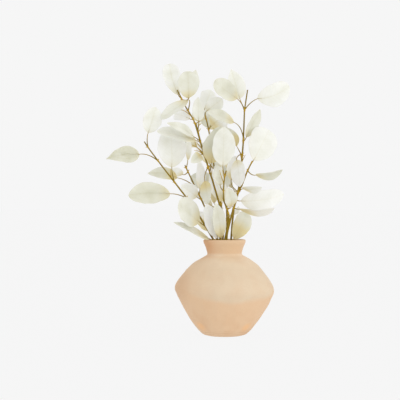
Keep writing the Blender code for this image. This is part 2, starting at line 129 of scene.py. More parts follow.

# Each stem: its slot in the neck (x, y), then its route above the mouth as (across, height, depth), then its
# leaves as (height of the root, (blade's base across, height), (tip across, height, depth), breadth, turn,
# point, bend, tone, gold), in mm. Depth is how far behind the vase's axis a place lies. Turn is how far a leaf
# faces aside, in degrees, point is how sharp its tip is, and bend is how far its midrib bows to the left of
# the way it grows. Tone is how far it has gone from ivory to olive, and gold is how golden it is towards its
# stalk. Both are set leaf by leaf, partly as its own colour and partly as painted light and shade: more olive
# on leaves that catch the lamp, less on leaves in shade, and gold also as painted warm shade by the stems.
# A branch has no slot, and stands on the stem of its name.
SHOOTS = [
    Shoot("stem_left_low", (-16, -8), [
        (-21, 175, -9), (-45, 215, -14), (-70, 251, -18), (-108, 300, -22), (-136, 337, -23), (-146, 352, -23),
    ], [
        (317, (-155, 329), (-216, 320, -34), 32, 15, 1.15, -3, 0.95, 0.1),
        (342, (-139, 368), (-125, 415, -30), 34, 12, 0.6, 0, 0.4, 0.1),
        (249, (-99, 257), (-175, 254, -46), 41, 15, 0.62, -3, 0.9, 0.3),
        (278, (-96, 305), (-97, 373, 2), 53, 10, 0.55, 0, 0.25, 0.2),
        (170, (-29, 176), (-93, 205, -36), 34, 40, 0.8, 0, 0.65, 0.6),
        (197, (-46, 206), (-84, 239, -52), 54, 10, 0.45, 0, 0.65, 0.5),
    ]),
    Shoot("stem_left_inner", (-12, 6), [
        (-14, 175, 7), (-35, 231, 10), (-57, 277, 12), (-72, 309, 14),
    ], [
        (269, (-86, 286), (-140, 294, 14), 28, 35, 0.9, -3, 0.7, 0.8),
        (297, (-76, 292), (-104, 301, 36), 22, 35, 0.8, 0, 0, 0.6),
        (304, (-67, 318), (-65, 358, 20), 26, 65, 0.8, 0, 0.35, 0.6),
        (255, (-45, 266), (-46, 319, 26), 28, 50, 0.8, 0, 0, 0.5),
        (247, (-50, 251), (-79, 273, -4), 28, 25, 0.7, 0, 0.2, 0.4),
        (185, (-27, 189), (-52, 226, 30), 28, 25, 0.8, 0, 0, 1.3),
    ]),
    Shoot("stem_left_tall", (-4, -10), [
        (-3, 175, -11), (-1, 215, -15), (-9, 237, -18), (-22, 282, -20), (-37, 328, -20), (-50, 373, -17),
        (-57, 393, -15), (-70, 414, -13), (-86, 446, -12),
    ], [
        (431, (-84, 437), (-100, 494, 0), 34, 10, 0.5, 4, 0.4, 0.3),
        (428, (-66, 431), (-67, 480, -40), 38, 12, 0.4, 0, 0.7, 0.5),
        (424, (-63, 435), (-52, 483, 8), 26, 30, 0.8, 0, 0.6, 0.5),
        (408, (-67, 427), (-116, 392, -40), 30, 45, 0.7, 0, 0.65, 0.5),
        (393, (-63, 393), (-91, 402, 14), 25, 15, 0.6, 0, 0, 0.2),
        (326, (-52, 354), (-123, 371, -44), 36, 50, 0.6, -3, 0.5, 0.5),
        (352, (-56, 361), (-105, 386, -45), 21, 35, 0.8, 0, 0.7, 0.1),
        (328, (-43, 328), (-61, 314, -62), 20, 0, 0.7, 0, 0.8, 0.9),
        (306, (-36, 280), (-30, 238, -42), 26, 40, 0.8, 0, 0.75, 0.9),
        (304, (-24, 313), (-7, 380, -46), 40, 10, 0.75, 3, 0.8, 0.7),
        (385, (-47, 390), (-48, 433, 10), 24, 20, 0.8, 0, 0.5, 0.1),
    ]),
    Shoot("stem_centre", (-8, 2), [
        (-8, 175, 3), (-6, 237, 18), (-15, 282, 28), (-25, 346, 30), (-29, 375, 28), (-37, 406, 28),
    ], [
        (392, (-32, 408), (-4, 430, 8), 28, 10, 0.6, 0, 0.4, 0.3),
        (398, (-36, 412), (-25, 446, 40), 34, 15, 0.6, 0, 0.25, 0.1),
        (340, (-18, 350), (2, 385, 44), 34, 25, 0.8, 0, 0.8, 1.3),
        (374, (-24, 380), (3, 404, 24), 36, 15, 0.6, 0, 0, 0.9),
        (300, (-27, 312), (-50, 345, 46), 32, 25, 0.8, 0, 0, 0.8),
        (250, (-5, 262), (-2, 310, 30), 34, 20, 0.8, 0, 0.6, 0.1),
        (238, (-19, 240), (-26, 280, 34), 20, 40, 0.8, 0, 0.5, 1.3),
    ]),
    Shoot("stem_front", (2, -16), [
        (1, 175, -18), (8, 211, -27), (6, 224, -30), (2, 236, -34), (-2, 249, -38), (-1, 278, -46),
        (3, 299, -52),
    ], [
        (290, (-3, 308), (-1, 378, -60), 42, 10, 0.6, 0, 0.55, 0.1),
        (222, (-1, 243), (-25, 299, 34), 29, 20, 0.75, 0, 0, 0.7),
        (164, (-12, 176), (-33, 238, -44), 28, 15, 0.7, 0, 0, 0.1),
        (168, (-6, 177), (-16, 240, -56), 26, 20, 0.7, 0, 0.75, 0.7),
        (230, (12, 234), (6, 268, -60), 24, 20, 0.7, 0, 0.7, 0.6),
        (262, (-8, 272), (-16, 310, -30), 26, 30, 0.8, 0, 0.6, 0.2),
    ]),
    Shoot("stem_right_tall", (5, -3), [
        (4, 175, -3), (6, 191, -4), (16, 229, -4), (25, 260, -4), (30, 304, 0), (34, 349, 6), (36, 400, 12),
        (37, 413, 14), (42, 446, 18),
    ], [
        (410, (60, 430), (118, 453, 4), 43, 10, 0.55, -5, 0.4, 0.1),
        (411, (28, 430), (12, 484, -4), 36, 10, 0.95, 0, 0.5, 0.2),
        (408, (23, 430), (-19, 461, -24), 35, 15, 0.45, 0, 0.8, 0.4),
        (357, (17, 387), (-32, 406, -12), 28, 40, 0.8, 0, 0.8, 0.5),
        (352, (40, 360), (65, 411, -6), 28, 45, 0.8, 0, 0.75, 0.4),
        (325, (22, 344), (3, 378, 18), 24, 40, 0.8, 0, 0.8, 1.3),
        (262, (34, 266), (68, 269, -30), 24, 55, 0.8, 0, 0.35, 0.6),
        (246, (30, 244), (108, 256, 12), 41, 22, 0.6, -3, 0.2, 0.1),
        (231, (27, 229), (91, 231, -38), 34, 66, 0.7, -8, 0.3, 0.8),
        (168, (17, 175), (41, 222, 22), 34, 15, 0.4, 0, 0.75, 1.3),
        (330, (22, 319), (28, 270, -8), 32, 20, 0.7, 0, 0.05, 0.5),
        (260, (12, 282), (20, 326, 24), 28, 30, 0.8, 0, 0, 0.8),
    ]),
    Shoot("stem_right_tall", None, [
        (26, 263, -4), (31, 271, -8), (41, 297, -15), (51, 317, -22),
    ], [
        (314, (53, 318), (81, 373, -32), 56, 8, 0.4, 0, 0.4, 0.1),
        (299, (57, 291), (106, 301, -40), 30, 60, 0.8, 0, 0.85, 0.5),
    ]),
]

# The stems behind, hidden in the front view: pairs of leaves from a height up, each pair a quarter turn on
PAIRED_SHOOTS = [
    Shoot("stem_back_left", (-8, 16), [
        (-8, 175, 18), (-9, 237, 40), (-22, 282, 58), (-37, 328, 77), (-52, 385, 98),
    ], 215),
    Shoot("stem_back_centre", (4, 18), [
        (4, 175, 20), (4, 260, 60), (-2, 350, 104), (-6, 400, 128),
    ], 205),
    Shoot("stem_back_right", (15, 9), [
        (12, 175, 12), (17, 229, 34), (25, 262, 50), (30, 304, 68), (34, 342, 86),
    ], 210),
]
PAIR_SPACING = 42 * MM
PAIR_LEAF = 72 * MM
PAIR_BREADTH = 36
PAIR_RISE = 0.75
PAIR_POINT = 0.75

# Bare twigs, which have lost their leaves: for each stem the height of a root, then (across, height) along
# the twig, in mm
BARE_TWIGS = {
    "stem_left_tall": [
        (324, [(-44, 335), (-52, 345), (-55, 360)]),
        (330, [(-48, 340), (-59, 345)]),
        (326, [(-46, 334), (-55, 336)]),
        (338, [(-50, 350), (-48, 357)]),
        (399, [(-73, 408), (-81, 410)]),
        (368, [(-43, 376)]),
        (289, [(-22, 306)]),
    ],
    "stem_centre": [(371, [(-25, 384)])],
    "stem_right_tall": [(318, [(28, 332)]), (314, [(38, 328)]), (254, [(20, 264)]), (256, [(31, 266)])],
    "stem_front": [(276, [(-6, 289), (-9, 300)]), (284, [(-4, 301)]), (286, [(4, 299)]), (226, [(10, 236)])],
    "stem_left_low": [(286, [(-98, 303)])],
}
STUB_RANGE = (2.5, 5)
STUB_RADIUS = 0.75 * MM
JOINT_REACH = 2.6 * MM

# Gaps among the leaves, as (across, height, radius) in mm: no leaf behind shows through them
OPEN_PLACES = [
    (-74, 385, 6), (-130, 357, 8), (-81, 309, 6), (-59, 306, 7), (-35, 308, 4), (-90, 264, 8), (12, 417, 12),
    (17, 373, 6), (24, 333, 6), (41, 315, 5), (50, 406, 6), (-39, 368, 5), (50, 280, 8), (-30, 457, 6),
    (-39, 448, 5), (45, 355, 6), (83, 313, 6), (34, 253, 4), (28, 240, 4),
]

# How fine the shapes are drawn
OUTLINE_STEPS = 6
TURNING_STEPS = 144
LIP_ARC_STEPS = 14
LEAF_STATIONS = 46
LEAF_POINTS_ASIDE = 9
TWIG_SIDES = 12
TWIG_SPACING = 2 * MM
STALK_STEPS = 12
STALK_UNDER_BLADE = (0.03, 0.07, 0.12, 0.18, 0.25)

# The side veins, in the blades' shape and in their colour: how far apart they leave the midrib, and how much
# they lean forward
VEIN_SPACING = 6 * MM
VEIN_LEAN = 0.7

# What each point carries for its blade: its place and form for the Geometry Nodes, its look for the material
FORM_VALUES = ("base", "run", "facing", "half", "point", "bend", "bow", "cup", "twist", "seed")
LOOK_VALUES = ("tone", "gold")

# The white of the studio's world and paper
PAPER = "#F6F6F6"


def seen(across, height, depth):
    """The point at that depth, in mm, which the front view shows at that place on the plane of the axis."""
    flat = Vector((across, 0, height)) * MM
    return EYE + (flat - EYE) * ((depth * MM - EYE.y) / -EYE.y)


def seen_at(point):
    """The place (across, height) on the plane of the axis at which the front view shows a point."""
    return [EYE[k] + (point[k] - EYE[k]) * EYE.y / (EYE.y - point.y) for k in (0, 2)]


def curve_through(points, steps=2):
    """A smooth curve through the points, with that many samples for each span."""
    ends = [2 * points[0] - points[1], *points, 2 * points[-1] - points[-2]]
    curve = []
    for i in range(len(points) - 1):
        a, b, c, d = ends[i : i + 4]
        for k in range(steps):
            t = k / steps
            square = (2 * a - 5 * b + 4 * c - d) * t**2
            cube = (3 * b - a - 3 * c + d) * t**3
            curve.append(0.5 * (2 * b + (c - a) * t + square + cube))
    return [*curve, points[-1].copy()]


def loft(rings, mirrored_from=None):
    """Points and triangles of a closed skin over rings of points. Sides of a ring from mirrored_from on are
    split along the other diagonal, so that both faces of a blade are split alike."""
    count = len(rings[0])
    faces = []
    for i in range(len(rings) - 1):
        for j in range(count):
            a = i * count + j
            b = i * count + (j + 1) % count
            if mirrored_from is None or j < mirrored_from:
                faces += [(a, b, b + count), (a, b + count, a + count)]
            else:
                faces += [(a, b, a + count), (b, b + count, a + count)]
    for start in (0, (len(rings) - 1) * count):
        for j in range(count // 2 - 1):
            a = start + j
            b = start + count - 1 - j
            faces += [(a, a + 1, b - 1), (a, b - 1, b)]
    return [p for ring in rings for p in ring], faces


def round_ring(centre, direction, beside, radius, sides):
    """Points round a centre, square to a direction, the first of them half a step below -beside."""
    normal = direction.cross(beside).normalized()
    beside = normal.cross(direction).normalized()
    angles = [math.pi + math.tau * (k + 0.5) / sides for k in range(sides)]
    return [centre + (beside * math.cos(a) + normal * math.sin(a)) * radius for a in angles]


def tube(path, radius, flat_foot):
    """Rings of a stem that tapers along its path. A flat foot is cut level, to stand on the vase's floor."""
    rings = []
    for i, point in enumerate(path):
        direction = path[min(i + 1, len(path) - 1)] - path[max(i - 1, 0)]
        if i == 0 and flat_foot:
            direction = UP
        thick = radius + (TWIG_RADIUS - radius) * i / (len(path) - 1)
        rings.append(round_ring(point, direction.normalized(), Vector((1, 0, 0)), thick, STEM_SIDES))
    return rings


def stem_path(shoot, parent=None):
    """A shoot's line from its foot in the vase, or from its root on the parent stem's line, to its tip."""
    above = [seen(*place) for place in shoot.route]
    if parent:
        above[0] = place_on(parent, shoot.route[0][1])[0]
        return curve_through(above)
    slot = Vector((*shoot.slot, 0)) * MM
    turn = math.atan2(slot.y, slot.x) + math.radians(SPIRAL_TURN)
    foot = Vector((math.cos(turn), math.sin(turn), 0)) * FOOT_RING + UP * (FLOOR + FOOT_GAP)
    through_neck = slot + UP * SLOT_HEIGHT
    return curve_through([foot, foot.lerp(through_neck, 0.5), through_neck, *above])


def place_on(path, height):
    """The place on a path which the front view shows at that height in mm, and the direction there."""
    for start, end in zip(path[2:], path[3:]):
        low, high = (seen_at(point)[1] for point in (start, end))
        if low <= height * MM < high:
            return start.lerp(end, (height * MM - low) / (high - low)), (end - start).normalized()
    return path[-1].copy(), (path[-1] - path[-2]).normalized()


def blade_frame(leaf):
    """The unit line of a leaf's blade, and the way its upper face looks at its base."""
    axis = (leaf.tip - leaf.base).normalized()
    facing = (leaf.facing - axis * axis.dot(leaf.facing)).normalized()
    facing.rotate(Matrix.Rotation(math.radians(leaf.turn - leaf.twist / 2), 3, axis))
    return axis, facing


def on_stalk(leaf, axis, s):
    """The place at a share of a leaf's stalk, and the direction there."""
    elbow = leaf.base - ELBOW_SHARE * (leaf.base - leaf.root).length * axis
    place = leaf.root * (1 - s) ** 2 + elbow * 2 * s * (1 - s) + leaf.base * s**2
    return place, ((elbow - leaf.root) * (1 - s) + (leaf.base - elbow) * s).normalized()


def on_midrib(leaf, axis, facing, u):
    """The place at a share of a blade's length, and the ways up and aside from it."""
    normal = facing.copy()
    normal.rotate(Matrix.Rotation(math.radians(leaf.twist * u), 3, axis))
    side = normal.cross(axis)
    arch = 4 * u * (1 - u)
    run = leaf.tip - leaf.base
    return leaf.base + run * u + (normal * leaf.bow + side * leaf.bend) * MM * arch, normal, side


def fullest(point):
    """What the rule for a blade's outline gives where it is widest, for a tip of that point."""
    widest = WIDEST_POWER / (WIDEST_POWER + point)
    return widest**WIDEST_POWER * (1 - widest) ** point


def leaf_rings(leaf, stalk_stations, room=0.0):
    """Rings of a leaf from its root in the stem, along its stalk, to the tip of its blade."""
    axis, facing = blade_frame(leaf)
    rings = []
    for s in stalk_stations:
        centre, direction = on_stalk(leaf, axis, s)
        rings.append(round_ring(centre, direction, facing.cross(axis), STALK_RADIUS + room, 2 * len(ACROSS)))
    for u in BLADE_STATIONS:
        centre, normal, side = on_midrib(leaf, axis, facing, u)
        half = leaf.breadth / 2 * MM * u**WIDEST_POWER * (1 - u) ** leaf.point / fullest(leaf.point)
        half = max(half, STALK_RADIUS * (1 - u) + TIP_HALF_WIDTH * u) + room
        lift = leaf.cup * MM * math.sin(math.pi * u)
        upper = []
        lower = []
        for v in ACROSS:
            middle = centre + side * half * v + normal * lift * abs(v) ** LIFT_POWER
            thick = BLADE_THICK + (EDGE_THICK - BLADE_THICK) * abs(v) + 2 * room
            upper.append(middle + normal * thick / 2)
            lower.append(middle - normal * thick / 2)
        rings.append([*lower, *reversed(upper)])
    return rings


def leaf_skin(leaf, room=0.0, outer_only=False):
    """Points and triangles of a leaf. Its outer part leaves out the stalk's root, which is in the stem."""
    stations = STALK_STATIONS[1:] if outer_only else STALK_STATIONS
    return loft(leaf_rings(leaf, stations, room), len(ACROSS))


def chance_form(chance):
    """A leaf's bow, cup and twist."""
    return chance.uniform(*BOW_RANGE), chance.uniform(*CUP_RANGE), chance.uniform(*TWIST_RANGE)


def table_leaves(shoot, path, chance):
    """The leaves in a stem's table, each with a little chance in how its blade is bent."""
    leaves = []
    for height, base_place, tip_place, breadth, turn, point, bend, *look in shoot.leaves:
        root, along = place_on(path, height)
        tip = seen(*tip_place)
        stalk = (seen(*base_place, root.y / MM) - root).length
        share = stalk / (stalk + math.dist(base_place, tip_place[:2]) * MM)
        base = seen(*base_place, (root.y + (tip.y - root.y) * share) / MM)
        form = (breadth, turn, point, bend, *chance_form(chance))
        leaves.append(Leaf(shoot.name, root, along, base, tip, TO_VIEWER, *form, *look))
    return leaves


def paired_leaves(shoot, path, chance):
    """Leaves in pairs up a stem, two opposite each other, and each pair a quarter turn on."""
    leaves = []
    looks = random.Random(shoot.name)
    turn = chance.uniform(0, 90)
    height = shoot.leaves
    while height < seen_at(path[-1])[1] / MM:
        root, along = place_on(path, height)
        for half_turn in (0, 180):
            outward = along.orthogonal().normalized()
            outward.rotate(Matrix.Rotation(math.radians(turn + half_turn), 3, along))
            reach = (outward + along * PAIR_RISE).normalized() * PAIR_LEAF * chance.uniform(0.85, 1.1)
            base = root + STALK_SHARE * reach.length * (reach.normalized() + 0.5 * along).normalized()
            breadth = PAIR_BREADTH * chance.uniform(0.85, 1.15)
            bend = chance.uniform(*BEND_RANGE)
            form = (breadth, 0, PAIR_POINT, bend, *chance_form(chance))
            look = (looks.uniform(0.35, 0.8), looks.uniform(0.2, 0.7))
            leaves.append(Leaf(shoot.name, root, along, base, root + reach, along, *form, *look))
        turn += 90 + chance.uniform(-15, 15)
        height += PAIR_SPACING / MM * max(along.z, 0.3)
    return leaves


def placings(leaf):
    """A leaf as drawn, then moved little by little: along the line of sight, or round a back stem."""
    if leaf.facing is TO_VIEWER:
        sight = (leaf.tip - EYE).normalized()
        stalk = (leaf.base - leaf.root).length
        share = stalk / (stalk + (leaf.tip - leaf.base).length)
        moves = [(leaf.base + sight * move * share * MM, leaf.tip + sight * move * MM) for move in DEPTH_MOVES]
    else:
        about = [Matrix.Rotation(math.radians(swing), 3, leaf.along) for swing in SWINGS]
        moves = [[leaf.root + way @ (end - leaf.root) for end in (leaf.base, leaf.tip)] for way in about]
    for base, tip in moves:
        for turn in TURNS:
            yield leaf._replace(base=base, tip=tip, turn=leaf.turn + turn)


def fills_gap(leaf):
    """Whether a leaf would show through one of the open places."""
    for ring in leaf_rings(leaf, ()):
        centre = sum(ring, Vector()) / len(ring)
        half = (ring[0] - ring[len(ACROSS) - 1]).length / 2
        sideways, height = seen_at(centre)
        for across, up, radius in OPEN_PLACES:
            if math.hypot(sideways - across * MM, height - up * MM) < half + radius * MM:
                return True
    return False


def tree_of(skins):
    """One search tree over the triangles of several skins."""
    points = []
    faces = []
    for skin_points, skin_faces in skins:
        faces += [tuple(k + len(points) for k in face) for face in skin_faces]
        points += skin_points
    return BVHTree.FromPolygons(points, faces)


def settled(leaves, vase, stems):
    """The leaves, each moved until its room is clear of the vase, the stems and the leaves before it. The
    stalk's root may touch its own stem. A leaf that finds no clear place is left out."""
    kept = []
    placed = list(stems)
    for leaf in leaves:
        own = tree_of([skin for name, skin in placed if name == leaf.stem])
        others = tree_of([vase, *[skin for name, skin in placed if name != leaf.stem]])
        for moved in placings(leaf):
            if moved.facing is not TO_VIEWER and fills_gap(moved):
                continue
            if tree_of([leaf_skin(moved, ROOM)]).overlap(others):
                continue
            if not tree_of([leaf_skin(moved, ROOM, True)]).overlap(own):
                kept.append(moved)
                placed.append((leaf.stem, leaf_skin(moved)))
                break
    return kept


def lip_arc(steps):
    """The vase's lip, rounded from its outer wall to its inner wall."""
    angles = [math.pi * k / steps for k in range(steps + 1)]
    middle = (LIP_RADIUS - WALL / 2, VASE_HEIGHT - WALL / 2)
    return [(middle[0] + WALL / 2 * math.cos(a), middle[1] + WALL / 2 * math.sin(a)) for a in angles]


def vase_outline():
    """The vase's outline as (radius, height), from the middle of its foot to the middle of its floor."""
    outer = []
    for shares, narrow, wide, low, high in (
        (LOWER_WALL, FOOT_RADIUS, BELLY_RADIUS, 0, BELLY_HEIGHT),
        (SHOULDER, NECK_RADIUS, BELLY_RADIUS, BELLY_HEIGHT, NECK_HEIGHT),
        (FLARE, NECK_RADIUS, LIP_RADIUS, NECK_HEIGHT, VASE_HEIGHT),
    ):
        outer += [(narrow + (wide - narrow) * s, low + (high - low) * t) for s, t in shares]
    inner = []
    for before, (radius, height), after in zip(outer[1:], outer[2:], outer[3:]):
        run = after[0] - before[0]
        rise = after[1] - before[1]
        length = math.hypot(run, rise)
        inner.append((radius - WALL * rise / length, height + WALL * run / length))
    floor = [(FLOOR_RADIUS + CORNER_RUN, FLOOR + CORNER_RISE), (FLOOR_RADIUS, FLOOR), (0, FLOOR)]
    return [(0, 0), *outer, *lip_arc(LIP_STEPS), *reversed(inner), *floor]


class Term:
    """A value that nodes work out. Sums, products and powers of terms add the nodes for them."""

    def __init__(self, socket):
        self.socket = socket

    def of(self, operation, *others, swapped=False):
        """An operation on this term and others. Among vectors a number stands for all three axes."""
        terms = [*others, self] if swapped else [self, *others]
        kind = "Math"
        if any(isinstance(x, Term) and x.socket.type == "VECTOR" for x in terms):
            terms = [x if isinstance(x, (Term, tuple)) else (x, x, x) for x in terms]
            kind = "VectorMath"
        output = "Value" if operation in ("LENGTH", "DISTANCE") else 0
        return add(self.socket.id_data, kind, terms, output, operation=operation)

    __add__ = __radd__ = partialmethod(of, "ADD")
    __mul__ = __rmul__ = partialmethod(of, "MULTIPLY")
    __sub__ = partialmethod(of, "SUBTRACT")
    __rsub__ = partialmethod(of, "SUBTRACT", swapped=True)
    __truediv__ = partialmethod(of, "DIVIDE")
    __rtruediv__ = partialmethod(of, "DIVIDE", swapped=True)
    __pow__ = partialmethod(of, "POWER")


def feed(node, inputs):
    """Link a node's inputs to terms, or set their values. They come by name, or as a list in their order."""
    for key, value in inputs.items() if isinstance(inputs, dict) else enumerate(inputs):
        if isinstance(value, Term):
            node.id_data.links.new(value.socket, node.inputs[key])
        else:
            node.inputs[key].default_value = value


def add(tree, kind, inputs=(), output=0, **settings):
    """Add a node to a tree with its inputs and settings, and give the term at one of its outputs. A kind is
    geometry's own if it has one of that name, or else a shader's."""
    geometric = "GeometryNode" + kind
    node = tree.nodes.new(geometric if hasattr(bpy.types, geometric) else "ShaderNode" + kind)
    for name, value in settings.items():
        setattr(node, name, value)
    feed(node, inputs)
    return Term(node.outputs[output])


def tint(code):
    """A colour written as sRGB hex, made linear."""
    shares = [int(code[i : i + 2], 16) / 255 for i in (1, 3, 5)]
    return (*[s / 12.92 if s <= 0.04045 else ((s + 0.055) / 1.055) ** 2.4 for s in shares], 1)


def geometry_tree(name, inputs):
    """A Geometry Nodes tree, and the terms for its named inputs. An input without a value takes an object."""
    tree = bpy.data.node_groups.new(name, "GeometryNodeTree")
    for way in ("INPUT", "OUTPUT"):
        tree.interface.new_socket("Geometry", in_out=way, socket_type="NodeSocketGeometry")
    for label, value in inputs.items():
        kind = {float: "Float", int: "Int"}.get(type(value), "Object")
        socket = tree.interface.new_socket(label, in_out="INPUT", socket_type="NodeSocket" + kind)
        if value is not None:
            socket.default_value = value
    given = tree.nodes.new("NodeGroupInput")
    return tree, {socket.name: Term(socket) for socket in given.outputs if socket.name}


def close_tree(tree, geometry, material):
    """End a tree: real geometry, shaded smooth, in its material."""
    for kind in ("RealizeInstances", "SetShadeSmooth"):
        geometry = add(tree, kind, {"Geometry": geometry})
    geometry = add(tree, "SetMaterial", {"Geometry": geometry, "Material": material})
    feed(tree.nodes.new("NodeGroupOutput"), {"Geometry": geometry})
    return tree


def new_object(name, data):
    """A new object in the scene, at the origin."""
    made = bpy.data.objects.new(name, data)
    bpy.context.scene.collection.objects.link(made)
    return made


def grown(name, source, tree, values):
    """A new piece: the plain mesh that a tree makes of a source mesh, with those values for inputs."""
    host = new_object(name, source)
    modifier = host.modifiers.new("Growth", "NODES")
    modifier.node_group = tree
    for item in tree.interface.items_tree:
        if item.name in values:
            modifier[item.identifier] = values[item.name]
    graph = bpy.context.evaluated_depsgraph_get()
    mesh = bpy.data.meshes.new_from_object(host.evaluated_get(graph), depsgraph=graph)
    host.modifiers.remove(modifier)
    host.data = mesh
    mesh.name = name
    return host


def marked_mesh(name, places, edges, faces, marks):
    """A mesh of points, lines or faces, with named values at each point."""
    mesh = bpy.data.meshes.new(name)
    mesh.from_pydata(places, edges, faces)
    for label, values in marks.items():
        kind, key = ("FLOAT_VECTOR", "vector") if isinstance(values[0], Vector) else ("FLOAT", "value")
        mesh.attributes.new(label, kind, "POINT").data.foreach_set(key, np.ravel(values).astype("f"))
    return mesh


def leaf_blank(stations, steps_aside):
    """A leaf before it has its form: two faces that meet all round. Each point is marked with how far along
    the leaf it is, from 0 to 1, how far across it, from -1 to 1, and which face it is on."""
    # The points lie closest by the midrib, and by the edge, where the two faces meet
    half = [(k / steps_aside) ** 1.3 * 0.98 for k in range(steps_aside)] + [0.985]
    shares = [-v for v in reversed(half)] + half[1:]
    ring = [*[(v, -1) for v in shares], (1, 0), *[(v, 1) for v in reversed(shares)], (-1, 0)]
    count = len(ring)
    points = []
    for k in range(1, stations):
        u = (1 - math.cos(math.pi * k / stations)) / 2
        points += [(u, v, s) for v, s in ring]
    last = len(points)
    points += [(0, 0, 0), (1, 0, 0)]
    faces = []
    for j in range(count):
        beside = (j + 1) % count
        for i in range(0, last - count, count):
            faces.append((i + j, i + beside, i + beside + count, i + j + count))
        faces.append((beside, j, last))
        faces.append((last - count + j, last - count + beside, last + 1))
    marks = dict(zip(("along", "across", "face"), zip(*points)))
    return new_object("leaf_blank", marked_mesh("leaf_blank", points, [], faces, marks))


def vein_lines(along, length, sideways, spacing, rib_width):
    """How strong the side veins are at a place on a blade, from -1 to 1, and its midrib, from 0 to 1."""
    phase = (along * length - sideways.of("ABSOLUTE") * VEIN_LEAN) / spacing
    offset = sideways / rib_width
    return (phase * math.tau).of("COSINE"), (-1 * offset * offset).of("EXPONENT")


def blade_tree(material):
    """Leaf blades: a blank leaf at each point, formed by the values which the point carries."""
    sizes = {
        "Blank Leaf": None, "Sheet": 0.35 * MM, "Rib Height": 0.3 * MM, "Rib Width": 1.0 * MM,
        "Vein Spacing": VEIN_SPACING, "Vein Height": 0.07 * MM, "Unevenness": 0.45,
        "Waviness": 1.8 * MM, "Wave Length": 22 * MM,
    }
    tree, given = geometry_tree("Leaf blades", sizes)
    blank = add(tree, "ObjectInfo", {"Object": given["Blank Leaf"]}, "Geometry")
    leaves = add(tree, "InstanceOnPoints", {"Points": given["Geometry"], "Instance": blank})
    leaves = add(tree, "RealizeInstances", {"Geometry": leaves})
    read = {}
    for name in (*FORM_VALUES, "along", "across", "face"):
        kind = "FLOAT_VECTOR" if name in ("base", "run", "facing") else "FLOAT"
        read[name] = add(tree, "InputNamedAttribute", {"Name": name}, data_type=kind)
    along = read["along"]
    across = read["across"]
    aside = across.of("ABSOLUTE")
    run = read["run"]

    # The blade turns about its own line as it goes, by its twist
    inputs = {"Vector": read["facing"], "Axis": run, "Angle": along * read["twist"]}
    normal = add(tree, "VectorRotate", inputs, rotation_type="AXIS_ANGLE")
    side = normal.of("CROSS_PRODUCT", run).of("NORMALIZE")

    # Its outline, a little uneven on each side, and how its midrib bows and its edges are lifted
    spot = add(tree, "CombineXYZ", [along * 2.5, across.of("SIGN"), read["seed"]])
    uneven = add(tree, "TexNoise", {"Vector": spot, "Scale": 1, "Detail": 2})
    uneven = 1 + (uneven - 0.5) * given["Unevenness"]
    sideways = read["half"] * along**WIDEST_POWER * (1 - along) ** read["point"] * across * uneven
    arch = 4 * along * (1 - along)
    middle = run * along + (normal * read["bow"] + side * read["bend"]) * arch
    lift = (along * math.pi).of("SINE") * read["cup"] * aside**LIFT_POWER

    # Its waves, which grow towards the edge
    length = run.of("LENGTH")
    spot = add(tree, "CombineXYZ", [along * length, sideways, read["seed"]])
    noise = add(tree, "TexNoise", {"Vector": spot, "Scale": 1 / given["Wave Length"], "Detail": 1})
    waves = (noise - 0.5) * given["Waviness"] * (0.25 + aside) * arch

    # Its side veins quilt it, and its midrib is a furrow above and a rib below
    veins, rib = vein_lines(along, length, sideways, given["Vein Spacing"], given["Rib Width"])
    quilt = veins * given["Vein Height"] * arch * (1 - aside**4)
    below = 0.5 - 0.5 * read["face"]
    rib = rib * (1 - along) * arch**0.3 * given["Rib Height"] * (0.3 + 0.7 * below)
    sheet = read["face"] * given["Sheet"] * 0.5 * (1 - 0.4 * aside)

    place = read["base"] + middle + side * sideways + normal * (lift + waves - quilt - rib + sheet)
    leaves = add(tree, "SetPosition", {"Geometry": leaves, "Position": place})
    # The material draws the veins from these two
    for name, value in (("sideways", sideways), ("length", length)):
        leaves = add(tree, "StoreNamedAttribute", {"Geometry": leaves, "Name": name, "Value": value})
    return close_tree(tree, leaves, material)


def twig_tree(material):
    """Twigs: a round section along each line, as thick as the line says, with slightly uneven bark."""
    sizes = {"Sides": TWIG_SIDES, "Bark Depth": 0.14 * MM, "Bark Grain": 2.6 * MM}
    tree, given = geometry_tree("Twigs", sizes)
    radius = add(tree, "InputNamedAttribute", {"Name": "radius"})
    line = add(tree, "MeshToCurve", {"Mesh": given["Geometry"]})
    section = add(tree, "CurvePrimitiveCircle", {"Resolution": given["Sides"], "Radius": 1})
    inputs = {"Curve": line, "Profile Curve": section, "Scale": radius, "Fill Caps": True}
    twigs = add(tree, "CurveToMesh", inputs)
    place = add(tree, "InputPosition")
    noise = add(tree, "TexNoise", {"Vector": place, "Scale": 1 / given["Bark Grain"], "Detail": 2})
    # Thin twigs have a finer bark than the stem
    depth = (noise - 0.5) * given["Bark Depth"] * (radius / STEM_RADIUS)
    offset = add(tree, "InputNormal") * depth
    twigs = add(tree, "SetPosition", {"Geometry": twigs, "Offset": offset})
    return close_tree(tree, twigs, material)


